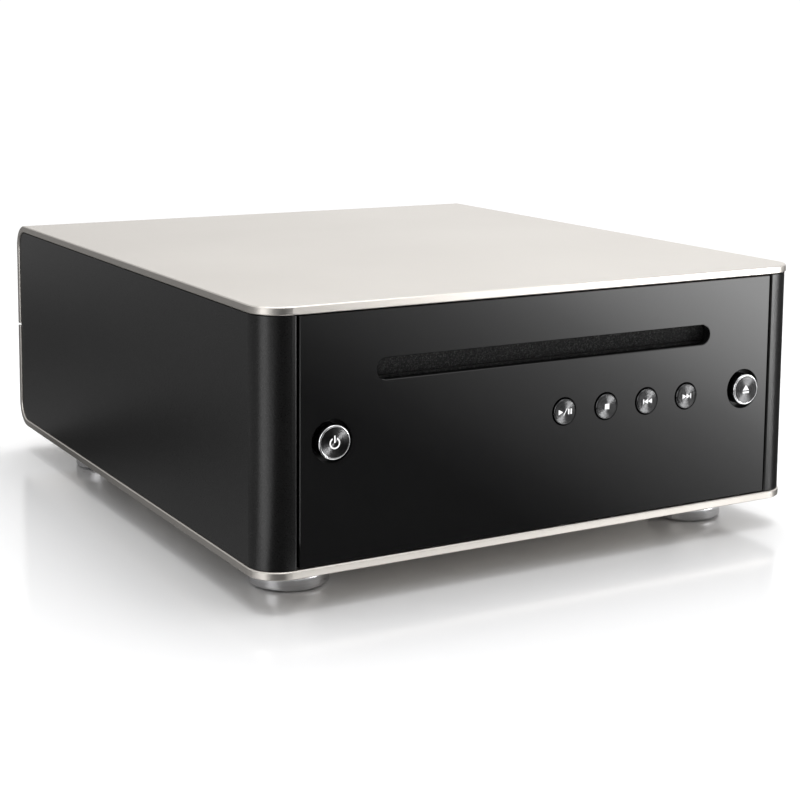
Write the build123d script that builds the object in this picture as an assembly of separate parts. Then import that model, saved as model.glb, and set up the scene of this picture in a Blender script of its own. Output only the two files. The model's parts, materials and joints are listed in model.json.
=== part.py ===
from build123d import *
import math
import os

os.makedirs("parts", exist_ok=True)

# ---------------------------------------------------------------- driving dimensions (mm)
# Frame: X to the right seen from the front, Y towards the back, Z up.
# The origin is under the middle of the object, on the surface it stands on.
W = 200.0            # width over the aluminium band
Y_FRONT = -118.5     # front edge of the aluminium band
Y_REAR = 109.5       # rear face of the aluminium band
Z_BOT = 10.5         # underside of the band, which is also the height of the feet
Z_TOP = 90.5         # top face
Z_SEAM = (Z_BOT + Z_TOP) / 2
T = 2.5              # thickness of the aluminium
R_PLAN = 10.0        # front corners, seen from above
R_BEND = 9.0         # rear bends, seen from the side
SEAM_GAP = 0.8
EDGE = 0.3           # bright-cut edge of the aluminium
INSET = 0.4          # side panels stand this far inside the band
SHADOW = 0.3         # shadow gap between the band and the black panels
SIDE_T = 2.5
RETURN_X = 88.4      # half distance between the front returns of the side panels
FASCIA_X = 87.7      # half width of the fascia
FASCIA_Y = -118.2    # front face of the fascia
FASCIA_T = 3.0
SLOT_W, SLOT_H, SLOT_Z = 125.0, 6.6, 69.7
BTN_Z = 50.0
BIG_X = 77.3
SMALL_X = (4.6, 20.75, 36.9, 53.05)
BIG_HOLE_R, BIG_R, BIG_PROUD = 6.5, 5.15, 1.8
SMALL_HOLE_R, SMALL_R, SMALL_PROUD = 4.42, 4.1, 0.7
TRAVEL = 0.8         # button travel
FOOT_R, FOOT_X, FOOT_YF, FOOT_YR = 12.5, 77.3, -89.5, 69.5
FOOT_DISC, FOOT_NECK = 4.6, 9.5   # top of the foot's turned disc, radius of the neck above it
WIN_X, WIN_Z0, WIN_Z1 = 84.0, 22.5, 78.5   # window in the rear of the band
PANEL_Y = 107.0      # outer face of the rear panel

DISC_Z = 69.1        # underside of a disc on its way in
SPINDLE_Y = -36.0
P3 = (-83.0, 60.5)   # pivot of the roller bracket, and axis of the pulley gear (y, z)
P4 = (-103.0, 64.1)  # roller axis
P2 = (-71.0, 48.74)  # reduction gear axis
P1 = (-51.8, 48.74)  # loading motor axis
CLAMP_PIVOT = (40.0, 79.0)
MODE_TRAVEL = 8.0
BRACKET_DEG, CLAMP_DEG = 10.0, 2.94
SLED_TRAVEL = 35.0


def box(x0, x1, y0, y1, z0, z1):
    return Pos((x0 + x1) / 2, (y0 + y1) / 2, (z0 + z1) / 2) * Box(x1 - x0, y1 - y0, z1 - z0)


def cz(x, y, r, z0, z1):
    return Pos(x, y, (z0 + z1) / 2) * Cylinder(r, z1 - z0)


def cx(y, z, r, x0, x1):
    return Pos((x0 + x1) / 2, y, z) * Rot(0, 90, 0) * Cylinder(r, x1 - x0)


def cy(x, z, r, y0, y1):
    return Pos(x, (y0 + y1) / 2, z) * Rot(90, 0, 0) * Cylinder(r, y1 - y0)


def stadium_y(x, z, w, h, y0, y1):
    """A slot shape of overall w by h, with its long side along X, from y0 to y1."""
    sk = Plane(origin=(x, y1, z), x_dir=(1, 0, 0), z_dir=(0, -1, 0)) * SlotOverall(w, h)
    return extrude(sk, amount=y1 - y0)


def slot_x(a, b, r, x0, x1):
    """A slot from point a to point b (y, z) of half width r, from x0 to x1."""
    dy, dz = b[0] - a[0], b[1] - a[1]
    length = math.hypot(dy, dz)
    ang = math.degrees(math.atan2(dz, dy))
    sk = Plane(origin=(x0, (a[0] + b[0]) / 2, (a[1] + b[1]) / 2), x_dir=(0, 1, 0), z_dir=(1, 0, 0)) * (
        Rot(0, 0, ang) * SlotOverall(length + 2 * r, 2 * r)
    )
    return extrude(sk, amount=x1 - x0)


def gear_face(n, m, phase, backlash=0.16, pa=20.0, add=0.95):
    """Involute outline of n teeth of module m, in the XY plane, with a tooth centred at angle phase (rad)."""
    rp = m * n / 2
    rb = rp * math.cos(math.radians(pa))
    ra = rp + m * add
    rr = rp - 1.25 * m
    inv = lambda a: math.tan(a) - a
    half_p = (math.pi * m / 2 - backlash) / 2 / rp
    base = half_p + inv(math.radians(pa))
    pts = []
    start = max(rr, rb)
    for k in range(n):
        c = phase + 2 * math.pi * k / n
        radii = [start + (ra - start) * i / 4 for i in range(5)]
        flank = []
        for r in radii:
            a = math.acos(min(1.0, rb / r))
            flank.append((r, base - inv(a)))
        if rr < rb:
            pts.append((rr, c - base))
        pts += [(r, c - t) for r, t in flank]
        pts += [(r, c + t) for r, t in reversed(flank)]
        if rr < rb:
            pts.append((rr, c + base))
    xy = [(r * math.cos(t), r * math.sin(t)) for r, t in pts]
    return make_face(Polyline(*xy, close=True))


def gear_x(c, n, m, phase, x0, x1, **k):
    return extrude(Plane(origin=(x0, c[0], c[1]), x_dir=(0, 1, 0), z_dir=(1, 0, 0)) * gear_face(n, m, phase, **k), amount=x1 - x0)


def gear_z(c, n, m, phase, z0, z1, **k):
    return extrude(Pos(c[0], c[1], z0) * gear_face(n, m, phase, **k), amount=z1 - z0)


def rounded_rect_y(x0, x1, z0, z1, r, y0, y1):
    sk = Plane(origin=((x0 + x1) / 2, y1, (z0 + z1) / 2), x_dir=(1, 0, 0), z_dir=(0, -1, 0)) * RectangleRounded(x1 - x0, z1 - z0, r)
    return extrude(sk, amount=y1 - y0)


PARTS = {}


def put(name, *shapes):
    """Adds a node: one solid, or a group of separate solids."""
    solids = []
    for s in shapes:
        solids += list(s.solids())
    PARTS[name] = solids[0] if len(solids) == 1 else Compound(children=solids)


# ---------------------------------------------------------------- aluminium band, in two halves
def band_half():
    z0, z1, y1 = Z_SEAM + SEAM_GAP / 2, Z_TOP, Y_REAR
    with BuildPart() as p:
        with BuildSketch(Plane.YZ):
            with BuildLine():
                Line((Y_FRONT, z1), (y1 - R_BEND, z1))
                RadiusArc((y1 - R_BEND, z1), (y1, z1 - R_BEND), R_BEND)
                Line((y1, z1 - R_BEND), (y1, z0))
                Line((y1, z0), (y1 - T, z0))
                Line((y1 - T, z0), (y1 - T, z1 - R_BEND))
                RadiusArc((y1 - T, z1 - R_BEND), (y1 - R_BEND, z1 - T), -(R_BEND - T))
                Line((y1 - R_BEND, z1 - T), (Y_FRONT, z1 - T))
                Line((Y_FRONT, z1 - T), (Y_FRONT, z1))
            make_face()
        extrude(amount=W / 2, both=True)
        fillet(p.edges().filter_by(Axis.Z).group_by(Axis.Y)[0], R_PLAN)
        cut_edges = [
            e
            for e in p.edges()
            if (abs(abs(e.center().X) - W / 2) < 0.01 and abs(e.center().Z - z0) > 0.01 and not (abs(e.tangent_at(0).Z) > 0.99 and e.center().Y < 0))
            or (abs(e.center().Y - Y_FRONT) < 0.01 and abs(e.tangent_at(0).X) > 0.99)
            or (e.geom_type == GeomType.CIRCLE and e.center().Y < 0)
        ]
        chamfer(cut_edges, EDGE)
        seam = [e for e in p.edges() if abs(e.center().Y - Y_REAR) < 0.01 and abs(e.center().Z - z0) < 0.01 and abs(e.tangent_at(0).X) > 0.99]
        chamfer(seam, 0.4)
    return p.part


half = band_half()
window = rounded_rect_y(-WIN_X, WIN_X, WIN_Z0, WIN_Z1, 5.0, Y_REAR - T - 1, Y_REAR + 1)
top_cover = half - window
bottom_cover = mirror(half, about=Plane.XY.offset(Z_SEAM)) - window
feet_at = [(-FOOT_X, FOOT_YF), (FOOT_X, FOOT_YF), (-FOOT_X, FOOT_YR), (FOOT_X, FOOT_YR)]
psc_at = [(-78, 26), (78, 26), (-78, 75), (78, 75), (-12, 50.5), (8.5, 50.5)]
case_at = [(-60, -98), (60, -98), (-60, 92), (60, 92), (-88, -10), (88, -10)]
for x, y in feet_at:
    bottom_cover -= cz(x, y, 1.7, Z_BOT - 1, Z_BOT + T + 1)
for x, y in case_at:
    bottom_cover -= cz(x, y, 1.7, Z_BOT - 1, Z_BOT + T + 1)
    bottom_cover -= Pos(x, y, Z_BOT + 0.75) * Cone(3.2, 1.7, 1.5)
for side in (-1, 1):
    for k in range(9):
        xs = side * (18 + 5.2 * k)
        bottom_cover -= Pos(xs, 22, Z_BOT + T / 2) * extrude(Rot(0, 0, 90) * SlotOverall(26, 2.4), amount=T, both=True)
        bottom_cover -= Pos(xs, -46, Z_BOT + T / 2) * extrude(Rot(0, 0, 90) * SlotOverall(26, 2.4), amount=T, both=True)
put("top_cover", top_cover)
put("bottom_cover", bottom_cover)


# ---------------------------------------------------------------- side panels
def side_panel(s):
    xo, xi = W / 2 - INSET, W / 2 - INSET - SIDE_T
    cyc = Y_FRONT + R_PLAN
    ro, ri = R_PLAN - INSET, R_PLAN - INSET - SIDE_T
    xc = W / 2 - R_PLAN
    yf, yb = Y_FRONT + INSET, Y_REAR - T - SHADOW
    q = math.sqrt(0.5)
    with BuildPart() as p:
        with BuildSketch(Plane.XY.offset(Z_BOT + T + SHADOW)):
            with BuildLine():
                Line((xo, yb), (xo, cyc))
                ThreePointArc((xo, cyc), (xc + ro * q, cyc - ro * q), (xc, yf))
                Line((xc, yf), (RETURN_X, yf))
                Line((RETURN_X, yf), (RETURN_X, yf + SIDE_T))
                Line((RETURN_X, yf + SIDE_T), (xc, yf + SIDE_T))
                ThreePointArc((xc, yf + SIDE_T), (xc + ri * q, cyc - ri * q), (xi, cyc))
                Line((xi, cyc), (xi, yb))
                Line((xi, yb), (xo, yb))
            make_face()
        extrude(amount=Z_TOP - Z_BOT - 2 * (T + SHADOW))
        rear = [e for e in p.edges() if abs(e.tangent_at(0).X) > 0.99 and abs(e.center().Y - yb) < 0.01]
        fillet(rear, R_BEND - T - SHADOW)
    part = p.part
    for y in (-84, -20, 40, 92):
        part += box(xi - 2.1, xi + 0.5, y - 3, y + 3, 20, 26)
    # fine edge along the outside of the front return
    edge = [e for e in part.edges() if abs(e.center().X - RETURN_X) < 0.01 and abs(e.center().Y - yf) < 0.01 and abs(e.tangent_at(0).Z) > 0.99]
    part = fillet(edge, 0.7)
    return part if s > 0 else mirror(part, about=Plane.YZ)


put("right_side_panel", side_panel(1))
put("left_side_panel", side_panel(-1))

# ---------------------------------------------------------------- fascia, subframe and slot felts
fy0, fy1 = FASCIA_Y, FASCIA_Y + FASCIA_T
fascia = box(-FASCIA_X, FASCIA_X, fy0, fy1, Z_BOT + T + 0.5, Z_TOP - T - 0.5)
fascia = chamfer(fascia.faces().sort_by(Axis.Y)[0].edges(), 0.15)
fascia -= stadium_y(0, SLOT_Z, SLOT_W, SLOT_H, fy0 - 1, fy1 + 1)
for x in (-BIG_X, BIG_X):
    fascia -= cy(x, BTN_Z, BIG_HOLE_R, fy0 - 1, fy1 + 1)
for x in SMALL_X:
    fascia -= cy(x, BTN_Z, SMALL_HOLE_R, fy0 - 1, fy1 + 1)
rims = [
    e
    for e in fascia.edges()
    if abs(e.center().Y - fy0) < 0.01
    and (e.geom_type == GeomType.CIRCLE or (abs(e.center().Z - SLOT_Z) < SLOT_H and abs(e.center().X) < 50))
]
fascia = chamfer(rims, 0.2)
put("front_fascia", fascia)

sy0, sy1 = fy1, fy1 + 1.6
sub = box(-86, 86, sy0, sy1, 14, 86)
sub += box(-86, 86, sy1, -107, 14, 86) - box(-84.6, 84.6, sy1 - 1, -106, 15.6, 84.4)
sub -= stadium_y(0, SLOT_Z, SLOT_W + 2, SLOT_H + 0.8, sy0 - 1, sy1 + 1)
for x in (-BIG_X, BIG_X):
    sub -= cy(x, BTN_Z, BIG_R + 0.12, sy0 - 1, sy1 + 1)
for x in SMALL_X:
    sub -= cy(x, BTN_Z, SMALL_R + 0.12, sy0 - 1, sy1 + 1)
sub -= box(-32, 32, sy0 - 1, sy1 + 1, 23.5, 40.5)       # display window
sub -= cy(62, 32, 3.6, sy0 - 1, sy1 + 1)                # remote sensor window
for x in (-62, -10, 65):
    sub += cy(x, BTN_Z, 2.4, sy1, -106.0)
put("front_subframe", sub)

felt_y0, felt_y1 = sy1, sy1 + 1.0
put(
    "slot_felts",
    box(-65, 65, felt_y0, felt_y1, SLOT_Z - 2.7, SLOT_Z + 4.3),
    box(-65, 65, felt_y0, felt_y1, SLOT_Z - 4.3, SLOT_Z - 2.9),
)


# ---------------------------------------------------------------- buttons
def button(x, r, proud, dome):
    front = FASCIA_Y - proud
    body = cy(x, BTN_Z, r, front, sy1 + 0.02)
    face = body.faces().sort_by(Axis.Y)[0]
    body = chamfer(face.edges(), dome)
    body += cy(x, BTN_Z, r + 0.9, sy1 + 0.02, sy1 + 1.0)
    body += cy(x, BTN_Z, 1.8, sy1 + 1.0, -110.4)
    return body


put("power_button", button(-BIG_X, BIG_R, BIG_PROUD, 0.35))
put("eject_button", button(BIG_X, BIG_R, BIG_PROUD, 0.35))
for nm, x in zip(("play_pause_button", "stop_button", "previous_button", "next_button"), SMALL_X):
    put(nm, button(x, SMALL_R, SMALL_PROUD, 0.25))

keys_x = (-BIG_X, BIG_X) + SMALL_X
key_board = box(-83.5, 83.5, -106.0, -104.4, 42.5, 54.0) + box(-34, 70, -106.0, -104.4, 24.6, 42.5)
for x in keys_x:
    key_board += box(x - 3, x + 3, -109.0, -106.0, BTN_Z - 3, BTN_Z + 3) + cy(x, BTN_Z, 1.5, -109.4, -109.0)
put("key_board", key_board)
put(
    "display_module",
    box(-30, 30, -115.1, -112.0, 24.5, 39.5) + box(-28, 28, -112.0, -106.0, 27, 37),
    cy(62, 32, 3.3, -115.1, -112.5) + box(58.8, 65.2, -112.5, -106.0, 28.5, 35.5),
)

# ---------------------------------------------------------------- feet
feet, pads, fscrews = [], [], []
for x, y in feet_at:
    f = cz(x, y, FOOT_R, 0.4, FOOT_DISC)
    f = chamfer(f.edges().filter_by(GeomType.CIRCLE), 0.35)
    f += cz(x, y, FOOT_NECK, FOOT_DISC, Z_BOT)
    f -= cz(x, y, 10.0, 0.0, 2.0)
    f -= cz(x, y, 3.5, 1.0, 5.0)
    f -= cz(x, y, 1.7, 4.0, Z_BOT + 1)
    feet.append(f)
    pad = cz(x, y, 9.9, 0.0, 2.0)
    pads.append(chamfer(pad.faces().sort_by(Axis.Z)[0].edges(), 0.3))
    fscrews.append(cz(x, y, 3.0, 2.6, 5.0) + cz(x, y, 1.5, 5.0, 16.5) - box(x - 2, x + 2, y - 0.4, y + 0.4, 2.0, 3.4) - box(x - 0.4, x + 0.4, y - 2, y + 2, 2.0, 3.4))
put("feet", *feet)
put("foot_pads", *pads)
put("foot_screws", *fscrews)


def csk_screw(x, y):
    """Countersunk cross-head screw that stands upright through the bottom cover."""
    s = Pos(x, y, Z_BOT + 0.8) * Cone(3.0, 1.6, 1.4) + cz(x, y, 1.5, Z_BOT + 1.4, 17.0)
    s -= box(x - 1.9, x + 1.9, y - 0.35, y + 0.35, Z_BOT - 0.5, Z_BOT + 0.9)
    s -= box(x - 0.35, x + 0.35, y - 1.9, y + 1.9, Z_BOT - 0.5, Z_BOT + 0.9)
    return s


put("bottom_cover_screws", *[csk_screw(x, y) for x, y in case_at])

# ---------------------------------------------------------------- chassis
posts_at = [(-64, -70), (64, -70), (-64, 38), (64, 38)]
chassis = box(-95, 95, -112.5, 98.0, 13.0, 14.0)
chassis += box(-95, -94, -106.5, 98.0, 14.0, 30.0)
chassis += box(94, 95, -106.5, 98.0, 14.0, 30.0)
chassis += box(-83.5, 83.5, -106.5, -105.5, 14.0, 24.0)
# the rear edge steps up over the bend of the bottom cover
chassis += box(-92, 92, 97.0, 98.0, 14.0, 20.6) + box(-92, 92, 97.0, 105.8, 19.6, 20.6)
chassis += box(-92, 92, 104.6, 105.8, 20.6, 30.0)
for x0, x1 in ((-85, -72), (72, 85)):
    chassis += box(x0, x1, 104.6, 105.8, 30.0, 80.0)
for x, y in feet_at:
    chassis += cz(x, y, 3.5, 14.0, 17.0)
    chassis -= cz(x, y, 1.6, 12.0, 18.0)
for x, y in case_at:
    chassis += cz(x, y, 3.5, 14.0, 17.5)
    chassis -= cz(x, y, 1.6, 12.0, 18.0)
for side in (-1, 1):
    for k in range(9):
        xs = side * (18 + 5.2 * k)
        for y in (22, -46):
            chassis -= Pos(xs, y, 13.5) * extrude(Rot(0, 0, 90) * SlotOverall(27, 3.2), amount=1.0, both=True)
for x, y in posts_at:
    chassis += cz(x, y, 4.0, 14.0, 54.5) - cz(x, y, 1.5, 48.0, 55.0)
offs_main, offs_psu = [(-16, -52), (82, -52), (-16, 86), (82, 86)], [(-82, -22), (-32, -22), (-82, 86), (-32, 86)]
for x, y in offs_main + offs_psu:
    chassis += cz(x, y, 3.0, 14.0, 19.0)
    chassis -= cz(x, y, 1.5, 12.0, 20.0)
for x, z in psc_at:
    chassis -= cy(x, z, 1.5, 104.0, 106.5)
put("chassis", chassis)
mech_dampers = [cz(x, y, 5.5, 54.5, 56.5) - cz(x, y, 1.6, 54.0, 57.0) for x, y in posts_at]
mech_screws = [cz(x, y, 1.5, 49.0, 57.7) + cz(x, y, 3.0, 57.7, 59.7) for x, y in posts_at]

# ---------------------------------------------------------------- loading mechanism: fixed pieces
base = box(-73.2, 73.2, -90, 46, 56.5, 57.7) - box(-48, 48, -54, 36, 56, 58)
for x0, x1 in ((-73.2, -72.0), (72.0, 73.2)):
    base += box(x0, x1, -96, 46, 56.5, 72.4)
    base += box(x0, x1, 33, 46, 72.0, 83.0)
base += box(-73.2, -72.0, -90, -42, 38.0, 57.0)
base -= cx(*P1, 2.0, -75, -70)
base -= cx(*P2, 1.2, -75, -70)
for x0, x1 in ((-75, -70), (70, 75)):
    base -= cx(*P3, 1.5, x0, x1)
    base -= cx(*CLAMP_PIVOT, 1.5, x0, x1)
for y in (-70, 10):
    base -= cx(y, 62.0, 1.5, 71, 74)
for x, y in posts_at:
    base -= cz(x, y, 1.6, 56, 58)
trav_at = [(-52, -48), (52, -48), (-52, 38), (52, 38)]
for x, y in trav_at:
    base -= cz(x, y, 1.1, 56, 58)
for x0, x1 in ((-72.0, -69.8), (69.8, 72.0)):
    base -= box(x0, x1, -91, -76, 56, 58)
# pivot pins, riveted into the side walls
base += cx(*P3, 1.5, -85.5, -70.0)
base += cx(*P3, 1.5, 70.0, 73.2)
base += cx(*P2, 1.2, -80.5, -72.0)
base += cx(*CLAMP_PIVOT, 1.5, -73.2, -64.0)
base += cx(*CLAMP_PIVOT, 1.5, 64.0, 73.2)
for y in (-70, 10):
    base += cx(y, 62.0, 1.5, 72.0, 75.6) + cx(y, 62.0, 2.6, 75.0, 75.8)
put("mechanism_base", base)
guide = box(-73.2, 73.2, -112.0, 20.0, 72.4, 73.4)
guide -= cz(0, SPINDLE_Y, 19.0, 72, 74)
for s in (-1, 1):
    guide += box(57.5 * s if s > 0 else -61.0, 61.0 if s > 0 else -57.5, -110, -40, 70.9, 72.4)
put("disc_guide_plate", guide)
loading_motor = cx(*P1, 7.5, -72.0, -47.0) - cx(*P1, 0.85, -73, -60)
loading_motor += cx(*P1, 1.9, -73.2, -72.0) - cx(*P1, 0.85, -74, -71)
put("loading_motor", loading_motor)

# ---------------------------------------------------------------- loading mechanism: moving pieces
M1 = 0.8
ang32 = math.atan2(P2[1] - P3[1], P2[0] - P3[0])      # from the pulley gear towards the reduction gear
ang21 = math.atan2(P1[1] - P2[1], P1[0] - P2[0])      # from the reduction gear towards the motor pinion
pulley_gear = gear_x(P3, 30, M1, ang32, -79.0, -77.0, add=0.74) + cx(*P3, 3.0, -84.2, -77.0)
pulley_gear += cx(*P3, 5.6, -84.2, -83.3) + cx(*P3, 5.6, -81.5, -80.6) + cx(*P3, 3.9, -83.3, -81.5)
pulley_gear -= cx(*P3, 1.55, -86, -76)
put("pulley_gear", pulley_gear)
reduction = gear_x(P2, 12, M1, ang32 + math.pi + math.pi / 12, -79.0, -76.0) + gear_x(P2, 36, M1, ang21, -76.0, -74.0, add=0.74)
reduction -= cx(*P2, 1.25, -80, -73)
put("reduction_gear", reduction)
put("motor_pinion", gear_x(P1, 12, M1, ang21 + math.pi + math.pi / 12, -76.4, -73.7) + cx(*P1, 0.8, -76.4, -62.0))

arm_l = slot_x(P3, P4, 3.8, -71.6, -70.4)
arm_r = slot_x(P3, P4, 3.8, 70.4, 71.6)
bracket = arm_l + arm_r + box(-71.6, 71.6, -97.0, -93.0, 58.6, 62.2)
for x0, x1 in ((-72, -70), (70, 72)):
    bracket -= cx(*P3, 1.55, x0, x1)
    bracket -= cx(*P4, 2.05, x0, x1)
BPIN = (-101.0, 61.2)
bracket += cx(*BPIN, 1.0, 71.0, 76.0)
put("roller_bracket", bracket)
belt = slot_x(P3, P4, 5.0, -83.0, -81.8) - slot_x(P3, P4, 4.0, -84, -81)
put("drive_belt", belt)
shaft = cx(*P4, 2.0, -84.6, 73.0)
rollers = []
for s in (-1, 1):
    cone = Pos(s * 32.0, *P4) * Rot(0, 90 * s, 0) * Cone(4.3, 5.0, 60.0)
    rollers.append(cone - cx(*P4, 2.0, -80, 80))
put("feed_rollers", *rollers)
# the belt pulley is moulded on the end of the shaft
shaft += cx(*P4, 5.6, -84.2, -83.3) + cx(*P4, 5.6, -81.5, -80.6) + cx(*P4, 3.9, -84.2, -80.6)
put("roller_shaft", shaft)

clamp = box(-22, 22, -48, 40, 78.4, 79.6) + box(-62, 62, 14, 40, 78.4, 79.6) + box(20, 70, -4, 14, 78.4, 79.6)
clamp += box(-22, -20.8, -48, 30, 79.6, 82.0) + box(20.8, 22, -48, 30, 79.6, 82.0)
clamp += cx(*CLAMP_PIVOT, 2.6, -71.4, 71.4)
clamp -= cx(*CLAMP_PIVOT, 1.55, -80, 80)
clamp -= cz(0, SPINDLE_Y, 9.0, 78, 80)
CPIN = (0.0, 79.0)
clamp += cx(*CPIN, 1.0, 69.0, 76.0)
put("clamp_arm", clamp)
puck = cz(0, SPINDLE_Y, 14.0, 71.5, 73.9) + cz(0, SPINDLE_Y, 8.3, 73.9, 79.9) + cz(0, SPINDLE_Y, 11.5, 79.8, 81.0)
puck -= cz(0, SPINDLE_Y, 8.6, 71.0, 73.5)
put("clamp_puck", puck)
helix = Helix(pitch=2.2, height=19.8, radius=2.0, center=(60, 27, 58.2))
wire_section = Plane(origin=helix @ 0, z_dir=helix % 0) * Circle(0.35)
clamp_spring = sweep(wire_section, path=helix)
put("clamp_spring", clamp_spring)


def swing(p, pivot, deg):
    a = math.radians(deg)
    dy, dz = p[0] - pivot[0], p[1] - pivot[1]
    return pivot[0] + dy * math.cos(a) - dz * math.sin(a), pivot[1] + dy * math.sin(a) + dz * math.cos(a)


mode = box(73.6, 74.8, -111.4, 24, 54.8, 66.0) + box(73.6, 74.8, -14, 7, 66.0, 84.0)
b1, c1 = swing(BPIN, P3, BRACKET_DEG), swing(CPIN, CLAMP_PIVOT, CLAMP_DEG)
mode -= slot_x(BPIN, (b1[0] - MODE_TRAVEL, b1[1]), 1.25, 73, 76)
mode -= slot_x(CPIN, (c1[0] - MODE_TRAVEL, c1[1]), 1.25, 73, 76)
for y in (-70, 10):
    mode -= slot_x((y, 62.0), (y - MODE_TRAVEL, 62.0), 1.56, 73, 76)
put("mode_slide", mode)

# ---------------------------------------------------------------- traverse: spindle, sled and pickup
trav = box(-56, 56, -62, 42, 59.5, 60.7) - box(-20.5, 20.5, -20.5, 38.0, 59, 61)
for s in (-1, 1):
    for y0, y1 in ((-24, -21), (38.5, 41.5)):
        trav += box(min(13 * s, 19 * s), max(13 * s, 19 * s), y0, y1, 60.7, 63.4)
    trav -= cy(16 * s, 61.5, 1.25, -30, 45)
SG, SM = (27.2, 5.0), (39.2, 5.0)
trav -= cz(*SM, 2.0, 59, 61)
for x, y in trav_at:
    trav -= cz(x, y, 1.1, 59, 61)
trav += cz(*SG, 1.0, 60.0, 65.2)
put("traverse_plate", trav)
put("mechanism_dampers", *mech_dampers, *[cz(x, y, 3.5, 57.7, 59.5) - cz(x, y, 1.1, 57, 60) for x, y in trav_at])
put("mechanism_screws", *mech_screws, *[cz(x, y, 1.1, 56.5, 60.7) + cz(x, y, 2.4, 60.7, 62.0) for x, y in trav_at])
put("guide_rods", *[cy(16 * s, 61.5, 1.25, -24, 41.5) for s in (-1, 1)])
put("spindle_motor", cz(0, SPINDLE_Y, 12.5, 60.7, 63.9) - cz(0, SPINDLE_Y, 1.05, 61.2, 65))
table = cz(0, SPINDLE_Y, 1.0, 61.4, 64.4) + cz(0, SPINDLE_Y, 14.5, 64.4, 66.0) + Pos(0, SPINDLE_Y, 67.15) * Cone(7.4, 6.4, 2.3)
put("turntable", table)

M2 = 0.6
sled = box(-13, 13, -19, 1, 58.0, 63.2) + box(-8, 8, -19, -7, 63.2, 63.8)
sled += box(13, 20.0, -19, 1, 59.8, 63.2) + box(-19, -13, -12, -6, 59.8, 63.2)
pitch = math.pi * M2
rack = []
tip, root, xp = 0.74 * M2, 1.25 * M2, 23.0
tan20 = math.tan(math.radians(20))
half_t = (pitch / 2 - 0.12) / 2
n_teeth = 20
y_first = SG[1] + pitch / 2 - (n_teeth - 1) * pitch
pts = [(19.5, y_first - pitch), (xp - root, y_first - pitch)]
for k in range(n_teeth):
    yc = y_first + k * pitch
    pts += [(xp - root, yc - half_t - root * tan20), (xp + tip, yc - half_t + tip * tan20), (xp + tip, yc + half_t - tip * tan20), (xp - root, yc + half_t + root * tan20)]
pts += [(xp - root, y_first + n_teeth * pitch), (19.5, y_first + n_teeth * pitch)]
sled += extrude(Pos(0, 0, 61.4) * make_face(Polyline(*pts, close=True)), amount=1.8)
sled -= cy(16, 61.5, 1.3, -40, 40)
sled -= cy(-16, 61.5, 1.3, -40, 40)
sled -= cz(0, -15, 3.4, 61.5, 65)
put("pickup_sled", sled)
put("objective_lens", cz(0, -15, 3.0, 62.2, 64.2))
sled_gear = gear_z(SG, 14, M2, math.pi, 61.2, 63.4) + gear_z(SG, 30, M2, 0.0, 63.4, 64.6, add=0.62)
put("sled_gear", sled_gear - cz(*SG, 1.05, 60, 66))
put("sled_pinion", gear_z(SM, 10, M2, math.pi + math.pi / 10, 63.2, 64.8) + cz(*SM, 0.8, 52.0, 64.8))
put("sled_motor", cz(*SM, 7.0, 50.0, 59.5) - cz(*SM, 0.85, 51.5, 60))

# ---------------------------------------------------------------- boards
main_board = box(-22, 88, -58, 92, 19.0, 20.6) - cz(64, 38, 5.5, 18, 21)
psu_board = box(-88, -26, -28, 92, 19.0, 20.6) - cz(-64, 38, 5.5, 18, 21)
for x, y in offs_main:
    main_board -= cz(x, y, 1.6, 18, 21)
for x, y in offs_psu:
    psu_board -= cz(x, y, 1.6, 18, 21)
put("main_board", main_board)
put("power_board", psu_board)
put("board_screws", *[cz(x, y, 1.5, 15.5, 20.6) + cz(x, y, 2.8, 20.6, 22.4) for x, y in offs_main + offs_psu])
chips = [
    box(20, 34, -30, -16, 20.6, 22.0),
    box(44, 56, -34, -22, 20.6, 22.0),
    box(0, 9, -8, 6, 20.6, 22.2),
    box(30, 36, 50, 62, 20.6, 22.2),
    box(10, 15, 54, 60, 20.6, 22.2),
    box(-8, 8, -50, -44, 20.6, 26.0),
    box(40, 62, -52, -46, 20.6, 26.0),
]
caps = [(70, 60, 5, 14), (70, 74, 5, 14), (56, 66, 4, 11), (-10, 30, 4, 12), (-10, 44, 4, 12), (20, 76, 3, 8), (0, 76, 3, 8)]
chips += [cz(x, y, r, 20.6, 20.6 + h) for x, y, r, h in caps] + [cz(-44, 8, 8.0, 20.6, 44.0), cz(-78, -8, 5.0, 20.6, 36.0)]
chips.append(box(-36, -34, 16, 44, 20.6, 42.0) + box(-34, -29, 16, 18, 20.6, 42.0) + box(-34, -29, 24, 26, 20.6, 42.0) + box(-34, -29, 34, 36, 20.6, 42.0) + box(-34, -29, 42, 44, 20.6, 42.0))
put("board_components", *chips, box(-70, -46, 48, 76, 20.6, 44.0) + box(-66, -50, 44, 80, 24.0, 40.0))

# ---------------------------------------------------------------- rear panel and connectors
RCA_X = (-2.0, -22.0, 19.0)       # left, right and coaxial sockets
CZ = 50.5
OPT_X, REM_X, AC_X = 40.0, 62.0, -58.0
REM_Z = (CZ + 8.0, CZ - 8.0)
panel = box(-92, 92, PANEL_Y - 1.2, PANEL_Y, 19.6, 81.4)
for x in RCA_X:
    panel -= cy(x, CZ, 5.0, PANEL_Y - 2, PANEL_Y + 1)
panel -= rounded_rect_y(OPT_X - 5.5, OPT_X + 5.5, CZ - 5.5, CZ + 5.5, 0.5, PANEL_Y - 2, PANEL_Y + 1)
for z in REM_Z:
    panel -= cy(REM_X, z, 3.6, PANEL_Y - 2, PANEL_Y + 1)
panel -= rounded_rect_y(AC_X - 12.2, AC_X + 12.2, CZ - 8.2, CZ + 8.2, 1.0, PANEL_Y - 2, PANEL_Y + 1)
for x, z in psc_at:
    panel -= cy(x, z, 1.6, PANEL_Y - 2, PANEL_Y + 1)
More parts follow.
